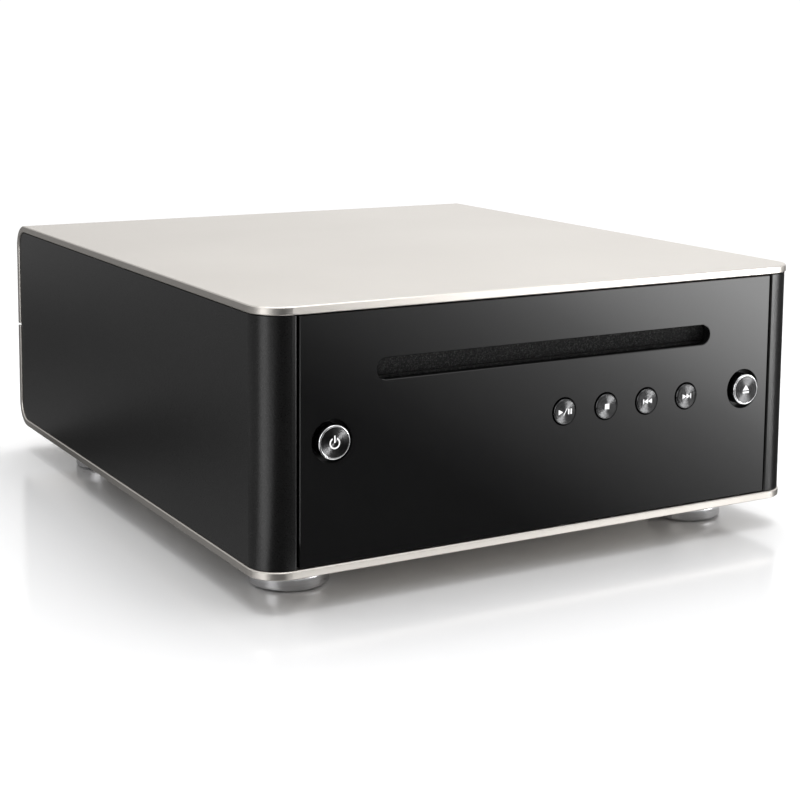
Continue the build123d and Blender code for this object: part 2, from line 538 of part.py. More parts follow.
for k in range(8):
    panel -= Pos(-40 + 7 * k, PANEL_Y - 0.6, 75) * extrude(Plane.XZ * Rot(0, 0, 90) * SlotOverall(7.0, 2.4), amount=2.0, both=True)
    panel -= Pos(-40 + 7 * k, PANEL_Y - 0.6, 26) * extrude(Plane.XZ * Rot(0, 0, 90) * SlotOverall(7.0, 2.4), amount=2.0, both=True)
put("rear_panel", panel)


def rear_screw(x, z):
    s = cy(x, z, 1.5, 101.0, PANEL_Y) + cy(x, z, 2.9, PANEL_Y, PANEL_Y + 1.7)
    s -= box(x - 1.8, x + 1.8, PANEL_Y + 0.9, PANEL_Y + 2, z - 0.35, z + 0.35)
    s -= box(x - 0.35, x + 0.35, PANEL_Y + 0.9, PANEL_Y + 2, z - 1.8, z + 1.8)
    return s


put("rear_panel_screws", *[rear_screw(x, z) for x, z in psc_at])
jb0, jb1 = 92.8, 94.4
put("jack_board", box(-34, 74, jb0, jb1, 34, 67))
jacks = []
for x in RCA_X:
    jack = cy(x, CZ, 4.15, 98.0, 120.0) + cy(x, CZ, 6.2, PANEL_Y, PANEL_Y + 3.0)
    jacks.append(jack - cy(x, CZ, 3.4, 99.0, 121.0))
put("phono_jacks", *jacks)
put("phono_insulators", *[cy(x, CZ, 3.4, 99.0, 118.6) - cy(x, CZ, 1.7, 104.0, 121.0) for x in RCA_X])
blk = box(-30, 27, jb1, PANEL_Y - 1.2, CZ - 8, CZ + 8)
for x in RCA_X:
    blk -= cy(x, CZ, 4.15, 94.0, 112)
for x in (-12, 8.5):
    blk -= cy(x, CZ, 1.5, 100.0, 112)
put("jack_block", blk)
opt = rounded_rect_y(OPT_X - 5.4, OPT_X + 5.4, CZ - 5.4, CZ + 5.4, 0.5, jb1, PANEL_Y + 1.0)
opt -= box(OPT_X - 4.2, OPT_X + 4.2, 97.0, PANEL_Y + 2, CZ - 4.2, CZ + 4.2)
opt -= cx(PANEL_Y - 0.2, CZ + 3.5, 0.55, OPT_X - 4.9, OPT_X + 4.9)
put("optical_output", opt)
flap = box(OPT_X - 4.0, OPT_X + 4.0, PANEL_Y - 0.6, PANEL_Y + 0.2, CZ - 3.9, CZ + 3.3) + cx(PANEL_Y - 0.2, CZ + 3.5, 0.5, OPT_X - 4.8, OPT_X + 4.8)
put("optical_shutter", flap)
rem = []
for z in REM_Z:
    r = cy(REM_X, z, 3.5, PANEL_Y - 1.4, PANEL_Y + 1.5) + box(REM_X - 5, REM_X + 5, jb1, PANEL_Y - 1.4, z - 5, z + 5)
    rem.append(r - cy(REM_X, z, 1.8, PANEL_Y + 1.5 - 12.0, PANEL_Y + 2))
put("remote_jacks", *rem)
ac = rounded_rect_y(AC_X - 12.0, AC_X + 12.0, CZ - 8.0, CZ + 8.0, 1.0, 90.0, PANEL_Y)
ac += rounded_rect_y(AC_X - 15.0, AC_X + 15.0, CZ - 10.5, CZ + 10.5, 2.0, PANEL_Y, PANEL_Y + 2.0)
ac -= stadium_y(AC_X, CZ, 17.4, 9.0, 96.0, PANEL_Y + 3.0)
for s in (-1, 1):
    ac -= cy(AC_X + 4.3 * s, CZ, 1.2, 92.0, 97.0)
put("mains_inlet", ac)
put("mains_inlet_pins", *[cy(AC_X + 4.3 * s, CZ, 1.2, 92.0, 107.5) for s in (-1, 1)])

for name, shape in PARTS.items():
    export_step(shape, f"parts/{name}.step")
print(len(PARTS), "nodes")
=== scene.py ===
import bpy
import bmesh
import json
import math
from mathutils import Vector, Matrix, noise


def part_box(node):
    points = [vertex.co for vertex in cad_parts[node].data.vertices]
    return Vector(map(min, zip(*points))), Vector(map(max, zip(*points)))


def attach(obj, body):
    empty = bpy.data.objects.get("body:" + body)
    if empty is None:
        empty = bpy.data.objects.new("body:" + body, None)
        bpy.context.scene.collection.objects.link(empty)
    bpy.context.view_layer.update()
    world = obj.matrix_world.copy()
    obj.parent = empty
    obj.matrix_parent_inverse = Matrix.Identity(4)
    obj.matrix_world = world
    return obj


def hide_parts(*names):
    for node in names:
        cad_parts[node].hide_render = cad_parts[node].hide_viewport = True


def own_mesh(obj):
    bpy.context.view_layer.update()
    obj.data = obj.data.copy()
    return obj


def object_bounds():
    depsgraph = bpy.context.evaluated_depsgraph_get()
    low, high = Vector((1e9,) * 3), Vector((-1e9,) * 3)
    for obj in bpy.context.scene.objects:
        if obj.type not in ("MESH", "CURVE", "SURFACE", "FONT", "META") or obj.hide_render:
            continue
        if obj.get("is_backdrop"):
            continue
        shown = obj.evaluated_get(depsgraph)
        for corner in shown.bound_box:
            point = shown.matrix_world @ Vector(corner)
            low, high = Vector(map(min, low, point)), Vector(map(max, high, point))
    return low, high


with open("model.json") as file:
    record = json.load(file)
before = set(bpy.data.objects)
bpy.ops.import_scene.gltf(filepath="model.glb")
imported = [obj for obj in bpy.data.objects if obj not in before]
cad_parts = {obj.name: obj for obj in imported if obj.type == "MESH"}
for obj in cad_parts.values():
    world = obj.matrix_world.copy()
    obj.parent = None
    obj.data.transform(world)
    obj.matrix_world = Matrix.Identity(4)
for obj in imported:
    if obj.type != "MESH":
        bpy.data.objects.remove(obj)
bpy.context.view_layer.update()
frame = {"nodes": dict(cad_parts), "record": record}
nodes = frame["nodes"]
scene = bpy.context.scene
scene.view_settings.view_transform = "Standard"
scene.view_settings.look = "None"
MM = 0.001


# ------------------------------------------------------------------ node helpers
class Mat:
    """A principled material whose colour, roughness and bump come from procedural nodes in object space."""

    def __init__(self, name, **sockets):
        self.m = bpy.data.materials.new(name)
        self.m.use_nodes = True
        self.t = self.m.node_tree
        self.t.nodes.clear()
        self.out = self.t.nodes.new("ShaderNodeOutputMaterial")
        self.p = self.t.nodes.new("ShaderNodeBsdfPrincipled")
        self.t.links.new(self.p.outputs["BSDF"], self.out.inputs["Surface"])
        for k, v in sockets.items():
            key = k.replace("_", " ")
            self.p.inputs[key].default_value = v
        self.coord = self.t.nodes.new("ShaderNodeTexCoord").outputs["Object"]
        self.normal = None

    def link(self, a, b):
        self.t.links.new(a, b)

    def mapped(self, scale):
        n = self.t.nodes.new("ShaderNodeMapping")
        n.inputs["Scale"].default_value = scale
        self.link(self.coord, n.inputs["Vector"])
        return n.outputs["Vector"]

    def noise(self, scale, detail=2.0, rough=0.5, stretch=None, distortion=0.0):
        n = self.t.nodes.new("ShaderNodeTexNoise")
        n.inputs["Scale"].default_value = scale
        n.inputs["Detail"].default_value = detail
        n.inputs["Roughness"].default_value = rough
        n.inputs["Distortion"].default_value = distortion
        self.link(self.mapped(stretch) if stretch else self.coord, n.inputs["Vector"])
        return n.outputs["Fac"]

    def voronoi(self, scale, feature="F1", stretch=None):
        n = self.t.nodes.new("ShaderNodeTexVoronoi")
        n.feature = feature
        n.inputs["Scale"].default_value = scale
        self.link(self.mapped(stretch) if stretch else self.coord, n.inputs["Vector"])
        return n.outputs["Distance"]

    def ramp(self, fac, stops):
        n = self.t.nodes.new("ShaderNodeValToRGB")
        el = n.color_ramp.elements
        while len(el) > 1:
            el.remove(el[-1])
        el[0].position, el[0].color = stops[0][0], rgba(stops[0][1])
        for pos, col in stops[1:]:
            e = el.new(pos)
            e.color = rgba(col)
        self.link(fac, n.inputs["Fac"])
        return n.outputs["Color"]

    def span(self, fac, lo, hi, a=0.3, b=0.7):
        n = self.t.nodes.new("ShaderNodeMapRange")
        n.inputs["From Min"].default_value = a
        n.inputs["From Max"].default_value = b
        n.inputs["To Min"].default_value = lo
        n.inputs["To Max"].default_value = hi
        self.link(fac, n.inputs["Value"])
        return n.outputs["Result"]

    def mix(self, fac, a, b, kind="MIX"):
        n = self.t.nodes.new("ShaderNodeMix")
        n.data_type = "RGBA"
        n.blend_type = kind
        for v, k in ((fac, 0), (a, 6), (b, 7)):
            if hasattr(v, "links") or hasattr(v, "is_linked"):
                self.link(v, n.inputs[k])
            else:
                n.inputs[k].default_value = v if k == 0 else rgba(v)
        return n.outputs[2]

    def colour(self, out):
        self.link(out, self.p.inputs["Base Color"])
        return self

    def rough(self, out):
        self.link(out, self.p.inputs["Roughness"])
        return self

    def bump(self, height, strength, distance):
        n = self.t.nodes.new("ShaderNodeBump")
        n.inputs["Strength"].default_value = strength
        n.inputs["Distance"].default_value = distance
        self.link(height, n.inputs["Height"])
        if self.normal is not None:
            self.link(self.normal, n.inputs["Normal"])
        self.normal = n.outputs["Normal"]
        self.link(self.normal, self.p.inputs["Normal"])
        return self

    def uv_tangent(self):
        n = self.t.nodes.new("ShaderNodeTangent")
        n.direction_type = "UV_MAP"
        n.uv_map = "turned"
        self.link(n.outputs["Tangent"], self.p.inputs["Tangent"])
        return self


def rgba(c):
    if isinstance(c, (int, float)):
        return (c, c, c, 1.0)
    return (*c, 1.0) if len(c) == 3 else tuple(c)


M = {}

# bead-blasted champagne aluminium
a = Mat("champagne_aluminium", Metallic=1.0)
fine = a.noise(5200, 2.0, 0.6)
cell = a.voronoi(3600)
cloud = a.noise(14, 3.0, 0.5)
base = a.ramp(cloud, [(0.3, (0.605, 0.575, 0.537)), (0.7, (0.635, 0.605, 0.566))])
grain = a.ramp(fine, [(0.32, (0.86, 0.855, 0.85)), (0.5, (0.97, 0.97, 0.97)), (0.68, (1.0, 1.0, 1.0))])
a.colour(a.mix(0.7, base, grain, "MULTIPLY")).rough(a.span(fine, 0.33, 0.46))
a.bump(fine, 0.35, 0.00002).bump(cell, 0.2, 0.00002)
M["champagne_aluminium"] = a.m

# satin black coated metal of the sides
a = Mat("black_side_metal", Specular_IOR_Level=0.5)
f = a.noise(2600, 3.0, 0.6)
a.colour(a.ramp(a.noise(30, 3.0, 0.5), [(0.3, (0.0036, 0.0035, 0.0036)), (0.7, (0.0052, 0.0050, 0.0050))]))
a.rough(a.span(f, 0.26, 0.32)).bump(f, 0.12, 0.00002)
M["black_side_metal"] = a.m

# polished black fascia
a = Mat("gloss_black", Specular_IOR_Level=0.5)
d = a.noise(60, 4.0, 0.6)
a.colour(a.ramp(d, [(0.3, (0.0072, 0.0072, 0.0075)), (0.7, (0.0082, 0.0082, 0.0083))]))
a.rough(a.span(a.noise(300, 3.0, 0.7), 0.035, 0.06)).bump(a.noise(9, 1.0, 0.4), 0.02, 0.0002)
M["gloss_black"] = a.m


def plastic(name, lo, hi, r0=0.4, r1=0.55, tex=1800, strength=0.2, spec=0.4):
    a = Mat(name, Specular_IOR_Level=spec)
    f = a.noise(tex, 3.0, 0.6)
    a.colour(a.ramp(a.noise(45, 4.0, 0.6), [(0.3, lo), (0.7, hi)]))
    a.rough(a.span(f, r0, r1)).bump(f, strength, 0.00003)
    M[name] = a.m
    return a


def metal(name, lo, hi, r0=0.2, r1=0.35, stretch=(1, 1, 1), tex=900, strength=0.1):
    a = Mat(name, Metallic=1.0)
    f = a.noise(tex, 3.0, 0.6, stretch=stretch)
    a.colour(a.ramp(a.noise(40, 4.0, 0.6), [(0.3, lo), (0.7, hi)]))
    a.rough(a.span(f, r0, r1)).bump(f, strength, 0.00002)
    M[name] = a.m
    return a


plastic("black_plastic", (0.008, 0.008, 0.008), (0.012, 0.012, 0.012))
plastic("pad_rubber", (0.012, 0.012, 0.012), (0.022, 0.022, 0.021), 0.7, 0.9, 900, 0.5)
plastic("damper_rubber", (0.02, 0.02, 0.03), (0.035, 0.035, 0.045), 0.6, 0.8)
plastic("mechanism_plastic", (0.02, 0.02, 0.022), (0.035, 0.035, 0.037))
plastic("gear_plastic", (0.62, 0.6, 0.54), (0.74, 0.72, 0.66), 0.3, 0.45)
plastic("roller_rubber", (0.02, 0.02, 0.02), (0.03, 0.03, 0.03), 0.6, 0.85, 1200, 0.5)
plastic("component_black", (0.012, 0.012, 0.013), (0.022, 0.022, 0.024), 0.35, 0.5)
plastic("rear_black", (0.010, 0.010, 0.010), (0.016, 0.016, 0.016), 0.5, 0.7, 2600, 0.6)
plastic("insulator", (0.6, 0.6, 0.6), (0.72, 0.72, 0.72), 0.3, 0.4)
metal("screw_black", (0.03, 0.03, 0.032), (0.06, 0.06, 0.062), 0.3, 0.45)
metal("screw_steel", (0.5, 0.5, 0.5), (0.65, 0.65, 0.65), 0.25, 0.4)
metal("sheet_steel", (0.5, 0.51, 0.52), (0.62, 0.62, 0.63), 0.3, 0.45, (1, 8, 1), 300)
metal("motor_case", (0.5, 0.5, 0.5), (0.6, 0.6, 0.6), 0.25, 0.4)
metal("steel_shaft", (0.6, 0.6, 0.62), (0.7, 0.7, 0.72), 0.12, 0.22)
metal("spring_steel", (0.45, 0.45, 0.46), (0.58, 0.58, 0.6), 0.2, 0.3)
metal("gold_plate", (0.75, 0.52, 0.2), (0.85, 0.62, 0.27), 0.16, 0.26)
metal("pin_brass", (0.6, 0.55, 0.45), (0.7, 0.66, 0.55), 0.2, 0.3)
metal("bright_steel", (0.62, 0.62, 0.63), (0.7, 0.7, 0.71), 0.18, 0.26)

# circuit boards: solder mask with the weave of the laminate under it
a = Mat("circuit_board", Specular_IOR_Level=0.5)
w = a.voronoi(900, stretch=(1, 1, 0.2))
a.colour(a.mix(a.span(w, 0.0, 0.5), (0.012, 0.09, 0.04), (0.018, 0.13, 0.06)))
a.rough(a.span(a.noise(400, 2.0), 0.25, 0.4)).bump(w, 0.2, 0.00003)
M["circuit_board"] = a.m

a = Mat("lens_glass", Transmission_Weight=0.6, IOR=1.5)
a.colour(a.ramp(a.noise(400), [(0.3, (0.35, 0.45, 0.6)), (0.7, (0.45, 0.6, 0.75))]))
a.rough(a.span(a.noise(900), 0.03, 0.08))
M["lens_glass"] = a.m

# felt
a = Mat("black_felt", Specular_IOR_Level=0.2, Sheen_Weight=0.25, Sheen_Roughness=0.5)
a.p.inputs["Sheen Tint"].default_value = (0.5, 0.5, 0.5, 1)
f1 = a.noise(2400, 4.0, 0.75)
f2 = a.voronoi(2600, stretch=(1, 1, 0.7))
spk = a.ramp(f1, [(0.38, (0.008, 0.008, 0.008)), (0.52, (0.024, 0.024, 0.024)), (0.66, (0.11, 0.11, 0.11))])
a.colour(spk).rough(a.span(f1, 0.85, 1.0)).bump(f1, 0.9, 0.00015).bump(f2, 0.5, 0.0001)
M["black_felt"] = a.m

# spun dark chrome of the button faces, and their polished rings
a = Mat("spun_chrome", Metallic=1.0, Anisotropic=0.5, Anisotropic_Rotation=0.25)
rings = a.noise(900, 2.0, 0.6)
a.colour(a.ramp(rings, [(0.3, (0.058, 0.058, 0.059)), (0.7, (0.085, 0.085, 0.086))]))
a.rough(a.span(rings, 0.17, 0.24))
a.uv_tangent()
M["spun_chrome"] = a.m
a = Mat("polished_ring", Metallic=1.0)
r = a.noise(500, 2.0, 0.5)
a.colour(a.ramp(r, [(0.3, (0.72, 0.72, 0.73)), (0.7, (0.82, 0.82, 0.83))])).rough(a.span(r, 0.08, 0.14))
M["polished_ring"] = a.m
a = Mat("button_side", Metallic=1.0)
r = a.noise(700, 2.0, 0.5)
a.colour(a.ramp(r, [(0.3, (0.05, 0.05, 0.052)), (0.7, (0.09, 0.09, 0.092))])).rough(a.span(r, 0.2, 0.3))
M["button_side"] = a.m
a = Mat("turned_steel", Metallic=1.0, Anisotropic=0.7)
r = a.noise(160, 3.0, 0.6, stretch=(0.3, 0.3, 20))
a.colour(a.ramp(r, [(0.3, (0.50, 0.50, 0.51)), (0.7, (0.60, 0.60, 0.61))])).rough(a.span(r, 0.2, 0.28)).bump(r, 0.08, 0.00002)
a.uv_tangent()
M["turned_steel"] = a.m
a = Mat("white_print", Specular_IOR_Level=0.3)
r = a.noise(2500, 3.0, 0.6)
a.colour(a.ramp(r, [(0.3, (0.78, 0.78, 0.78)), (0.7, (0.9, 0.9, 0.9))])).rough(a.span(r, 0.4, 0.55))
# painted light: an emission makes the white print of the symbols glow, a painted glow on top of the print colour
a.p.inputs["Emission Color"].default_value = (1.0, 1.0, 1.0, 1.0)
a.p.inputs["Emission Strength"].default_value = 0.55
M["white_print"] = a.m

# ------------------------------------------------------------------ materials on the CAD nodes
slot_of = {s["node"]: s["material_slot"] for s in frame["record"]["subparts"]}
SWAP = {"dark_chrome": "button_side"}
for name, ob in nodes.items():
    s = slot_of.get(name, "black_plastic")
    mt = M[SWAP.get(s, s)]
    if not ob.material_slots:
        ob.data.materials.append(mt)
    for ms in ob.material_slots:
        ms.material = mt


# ------------------------------------------------------------------ mesh helpers
def new_object(name, bm, mats, smooth=True):
    me = bpy.data.meshes.new(name)
    bm.normal_update()
    bm.to_mesh(me)
    bm.free()
    ob = bpy.data.objects.new(name, me)
    scene.collection.objects.link(ob)
    for m_ in mats:
        me.materials.append(M[m_])
    if smooth:
        for p in me.polygons:
            p.use_smooth = True
    return ob


def lathe(bm, profile, place, seg=160):
    """Turns profile [(radius, height, material)] about the axis; place maps (radius*cos, radius*sin, height) to a point."""
    uv = bm.loops.layers.uv.get("turned") or bm.loops.layers.uv.new("turned")
    rings = []
    for r, h, _ in profile:
        rings.append([bm.verts.new(place(r * math.cos(2 * math.pi * k / seg), r * math.sin(2 * math.pi * k / seg), h)) for k in range(seg)])
    n = len(profile)
    for i in range(n - 1):
        for k in range(seg):
            k2 = (k + 1) % seg
            f = bm.faces.new((rings[i][k], rings[i][k2], rings[i + 1][k2], rings[i + 1][k]))
            f.material_index = profile[i][2]
            for lp, (u, v) in zip(f.loops, ((k, i), (k + 1, i), (k + 1, i + 1), (k, i + 1))):
                lp[uv].uv = (u / seg, v / (n - 1))
    for i, flip in ((0, False), (n - 1, True)):
        if profile[i][0] > 1e-7:
            f = bm.faces.new(rings[i] if flip else list(reversed(rings[i])))
            f.material_index = profile[min(i, n - 2)][2]
            for k, lp in enumerate(f.loops):
                lp[uv].uv = (k / seg, 0.0)


def sharp_by_angle(ob, degrees=35):
    me = ob.data
    bm = bmesh.new()
    bm.from_mesh(me)
    bmesh.ops.recalc_face_normals(bm, faces=bm.faces)
    for e in bm.edges:
        e.smooth = len(e.link_faces) == 2 and e.calc_face_angle(0) < math.radians(degrees)
    bm.to_mesh(me)
    bm.free()


# ------------------------------------------------------------------ buttons
def button_piece(node, r, front, small):
    lo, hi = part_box(node)
    x, z = (lo[0] + hi[0]) / 2, (lo[2] + hi[2]) / 2
    y = lo[1]
    rad = r * MM
    back = hi[1]
    neck = front_sub_back
    # the face is turned in fine V grooves, whose flanks lean a little differently from one to the next
    edge = (r - 0.36 if small else r - 0.62) * MM
    face_y = y + (0.00004 if small else 0.00009)
    count = int(edge / 0.00015)
    pitch = edge / count
    prof = [(0.00002, face_y, 0)]
    for k in range(count):
        lean = math.radians((9, 14, 11, 17, 12, 15)[k % 6])
        if k:
            prof.append((k * pitch, face_y, 0))
        prof.append(((k + 0.5) * pitch, face_y + pitch / 2 * math.tan(lean), 0))
    prof.append((edge, face_y, 0))
    if small:
        prof += [((r - 0.30) * MM, y + 0.00007, 0), ((r - 0.13) * MM, y + 0.00020, 2), ((r - 0.05) * MM, y + 0.00034, 2), (rad, y + 0.00058, 2)]
    else:
        prof += [((r - 0.56) * MM, y + 0.00007, 1), ((r - 0.50) * MM, y + 0.00001, 1), ((r - 0.40) * MM, y, 1), ((r - 0.26) * MM, y + 0.00004, 1), ((r - 0.12) * MM, y + 0.00014, 1),
                 ((r - 0.03) * MM, y + 0.00028, 1), (rad, y + 0.00045, 2)]
    prof += [(rad, neck, 2), ((r + 0.9) * MM, neck, 2), ((r + 0.9) * MM, neck + 0.00098, 2), (0.0018, neck + 0.00098, 2), (0.0018, back, 2)]
    bm = bmesh.new()
    lathe(bm, prof, lambda a_, b_, h: Vector((x + a_, h, z + b_)))
    ob = new_object(node + "_turned", bm, ["spun_chrome", "polished_ring", "button_side"])
    sharp_by_angle(ob, 40)
    vs = ob.data.vertices
    inner = [math.hypot(v.co.x - x, v.co.z - z) < edge + 0.000004 and v.co.y < y + 0.0004 for v in vs]
    for e in ob.data.edges:
        a_, b_ = e.vertices
        if inner[a_] and inner[b_]:
            ra, rb = (math.hypot(vs[i].co.x - x, vs[i].co.z - z) for i in (a_, b_))
            if abs(ra - rb) < 0.00001:
                e.use_edge_sharp = True
    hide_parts(node)
    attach(ob, node)
    return x, y, z


front_sub_back = -0.11358


def flat_piece(name, polys, x, y, z, body, mat="white_print", depth=0.00006):
    """Thin printed shapes on a button: polys in mm about (x, z), lying at height y."""
    bm = bmesh.new()
    for pts in polys:
        f_ = [bm.verts.new((x + px * MM, y, z + pz * MM)) for px, pz in pts]
        b_ = [bm.verts.new((x + px * MM, y + depth, z + pz * MM)) for px, pz in pts]
        n = len(pts)
        bm.faces.new(f_)
        bm.faces.new(list(reversed(b_)))
        for k in range(n):
            bm.faces.new((f_[k], b_[k], b_[(k + 1) % n], f_[(k + 1) % n]))
    bmesh.ops.recalc_face_normals(bm, faces=bm.faces)
    ob = new_object(name, bm, [mat], smooth=False)
    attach(ob, body)
    return ob


def arc_band(r0, r1, a0, a1, n=40):
    """Polygons of a ring from angle a0 to a1 in degrees."""
    out = []
    for k in range(n):
        t0 = math.radians(a0 + (a1 - a0) * k / n)
        t1 = math.radians(a0 + (a1 - a0) * (k + 1) / n)
        out.append([(r0 * math.cos(t0), r0 * math.sin(t0)), (r1 * math.cos(t0), r1 * math.sin(t0)), (r1 * math.cos(t1), r1 * math.sin(t1)), (r0 * math.cos(t1), r0 * math.sin(t1))])
    return out


def rect(x0, x1, z0, z1):
    return [(x0, z0), (x1, z0), (x1, z1), (x0, z1)]


def disc(x, z, r, n=16):
    return [(x + r * math.cos(2 * math.pi * k / n), z + r * math.sin(2 * math.pi * k / n)) for k in range(n)]


BIG, SMALL = 5.15, 4.1
x, y, z = button_piece("power_button", BIG, 0, False)
flat_piece("power_symbol", arc_band(1.32, 1.72, 118, 422) + [rect(-0.2, 0.2, 0.1, 2.25)], x, y + 0.00005, z - 0.0002, "power_button")
x, y, z = button_piece("eject_button", BIG, 0, False)
flat_piece("eject_symbol", [[(-1.35, -0.25), (1.35, -0.25), (0, 1.55)], rect(-1.35, 1.35, -1.25, -0.65)], x, y + 0.00005, z, "eject_button")
x, y, z = button_piece("play_pause_button", SMALL, 0, True)
flat_piece("play_pause_symbol", [[(-2.55, -0.85), (-0.95, 0.0), (-2.55, 0.85)], [(-0.72, -1.0), (-0.5, -1.0), (0.72, 1.0), (0.5, 1.0)], rect(1.0, 1.5, -0.85, 0.85), rect(1.95, 2.45, -0.85, 0.85)], x, y - 0.00003, z, "play_pause_button", depth=0.0002)
x, y, z = button_piece("stop_button", SMALL, 0, True)
flat_piece("stop_symbol", [rect(-0.82, 0.82, -0.85, 0.85)], x, y - 0.00003, z, "stop_button", depth=0.0002)
x, y, z = button_piece("previous_button", SMALL, 0, True)
flat_piece("previous_symbol", [rect(-1.75, -1.4, -0.8, 0.8), [(-1.4, 0), (0.15, -0.8), (0.15, 0.8)], [(0.15, 0), (1.75, -0.8), (1.75, 0.8)]], x, y - 0.00003, z, "previous_button", depth=0.0002)
x, y, z = button_piece("next_button", SMALL, 0, True)
flat_piece("next_symbol", [[(-1.75, -0.8), (-0.15, 0), (-1.75, 0.8)], [(-0.15, -0.8), (1.4, 0), (-0.15, 0.8)], rect(1.4, 1.75, -0.8, 0.8)], x, y - 0.00003, z, "next_button", depth=0.0002)

# ------------------------------------------------------------------ slot felts, with a raised pile
lo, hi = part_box("slot_felts")
SLIT = None


def felt_strip(bm, x0, x1, y0, y1, z0, z1, step=0.00026):
    nx, nz = int((x1 - x0) / step), max(4, int((z1 - z0) / step))
    grid = []
    for i in range(nx + 1):
        row = []
        for k in range(nz + 1):
            px, pz = x0 + (x1 - x0) * i / nx, z0 + (z1 - z0) * k / nz
            edge = i in (0, nx) or k in (0, nz)
            h = noise.fractal(Vector((px * 1400, 3.1, pz * 1400)), 0.9, 2.0, 4)
            dy = 0.0 if edge else 0.00008 + 0.00016 * h
            row.append(bm.verts.new((px, y0 + 0.00016 + (-dy if not edge else 0.0001), pz)))
        grid.append(row)
    for i in range(nx):
        for k in range(nz):
            bm.faces.new((grid[i][k], grid[i + 1][k], grid[i + 1][k + 1], grid[i][k + 1]))
    rim = [grid[i][0] for i in range(nx + 1)] + [grid[nx][k] for k in range(1, nz + 1)] + [grid[i][nz] for i in range(nx - 1, -1, -1)] + [grid[0][k] for k in range(nz - 1, 0, -1)]
    backs = [bm.verts.new((v.co.x, y1, v.co.z)) for v in rim]
    n = len(rim)
    for k in range(n):
        bm.faces.new((rim[k], backs[k], backs[(k + 1) % n], rim[(k + 1) % n]))
    bm.faces.new(backs)


bm = bmesh.new()
felt = nodes["slot_felts"]
parts = {}
zs = sorted({round(v.co.z, 6) for v in felt.data.vertices})
y0, y1 = lo[1], hi[1]
# the two strips meet at a slit: take the four levels from the frame
if len(zs) >= 4:
    za0, za1, zb0, zb1 = zs[0], zs[1], zs[-2], zs[-1]
else:
    za0, za1, zb0, zb1 = lo[2], (lo[2] + hi[2]) / 2, (lo[2] + hi[2]) / 2, hi[2]
felt_strip(bm, lo[0], hi[0], y0, y1, za0, za1)
felt_strip(bm, lo[0], hi[0], y0, y1, zb0, zb1)
bmesh.ops.recalc_face_normals(bm, faces=bm.faces)
ob = new_object("slot_felt_pile", bm, ["black_felt"])
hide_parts("slot_felts")
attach(ob, "case")

# ------------------------------------------------------------------ clamp spring: a coil that moves with the arm
lo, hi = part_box("clamp_spring")
wire = 0.00035
cx_, cy_ = (lo[0] + hi[0]) / 2, (lo[1] + hi[1]) / 2
coil_r = (hi[0] - lo[0]) / 2 - wire
z_lo, z_hi = lo[2] + wire, hi[2] - wire
turns, per = 9, 40
rise = (z_hi - z_lo) / (2 * math.pi * turns)
bm = bmesh.new()
rings_ = []
for k in range(turns * per + 1):
    t_ = 2 * math.pi * k / per
    out_ = Vector((math.cos(t_), math.sin(t_), 0))
    run = Vector((-coil_r * math.sin(t_), coil_r * math.cos(t_), rise)).normalized()
    up_ = run.cross(out_)
    mid = Vector((cx_, cy_, z_lo + rise * t_)) + out_ * coil_r
    rings_.append([bm.verts.new(mid + out_ * (wire * math.cos(q_)) + up_ * (wire * math.sin(q_))) for q_ in [2 * math.pi * j / 12 for j in range(12)]])
for k in range(len(rings_) - 1):
    for j in range(12):
        bm.faces.new((rings_[k][j], rings_[k][(j + 1) % 12], rings_[k + 1][(j + 1) % 12], rings_[k + 1][j]))
bm.faces.new(rings_[0])
bm.faces.new(list(reversed(rings_[-1])))
bmesh.ops.recalc_face_normals(bm, faces=bm.faces)
ob = new_object("clamp_spring_coil", bm, ["spring_steel"])
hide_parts("clamp_spring")
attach(ob, "clamp_arm")
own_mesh(ob)

# ------------------------------------------------------------------ feet, turned, with softened edges
lo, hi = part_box("feet")
R = 0.0125
bm = bmesh.new()
z0, z1 = lo[2], 0.0046
prof = [(0.0100, 0.0020, 0), (0.0100, z0 + 0.00025, 0), (0.01012, z0 + 0.00008, 0), (0.0103, z0, 0), (R - 0.00075, z0, 0)]
for k in range(1, 7):
    t = math.radians(15 * k)
    prof.append((R - 0.0006 + 0.0006 * math.sin(t) , z0 + 0.0006 - 0.0006 * math.cos(t), 0))
prof += [(R, z0 + 0.0012, 0), (R, z1 - 0.0012, 0)]
for k in range(0, 7):
    t = math.radians(15 * k)
    prof.append((R - 0.0005 + 0.0005 * math.cos(t), z1 - 0.0005 + 0.0005 * math.sin(t), 0))
prof += [(0.0097, z1, 0), (0.0095, z1 + 0.0002, 0), (0.0095, hi[2], 0), (0.0030, hi[2], 0)]
for fx, fy in ((-0.0773, -0.0895), (0.0773, -0.0895), (-0.0773, 0.0695), (0.0773, 0.0695)):
    lathe(bm, prof, lambda a_, b_, h, fx=fx, fy=fy: Vector((fx + a_, fy + b_, h)), seg=128)
ob = new_object("feet_turned", bm, ["turned_steel"])
sharp_by_angle(ob, 40)
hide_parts("feet")
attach(ob, "case")


# ------------------------------------------------------------------ floor, light and camera
def plane(name, corners, mat):
    bm = bmesh.new()
    bm.faces.new([bm.verts.new(c) for c in corners])
    me = bpy.data.meshes.new(name)
    bm.to_mesh(me)
    bm.free()
    ob = bpy.data.objects.new(name, me)
    scene.collection.objects.link(ob)
    me.materials.append(mat)
    ob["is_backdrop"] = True
    return ob


a = Mat("floor_gloss", Specular_IOR_Level=0.5)
r = a.noise(3.0, 2.0, 0.5)
a.colour(a.ramp(r, [(0.3, (0.93, 0.93, 0.935)), (0.7, (0.94, 0.94, 0.945))])).rough(a.span(r, 0.11, 0.13))
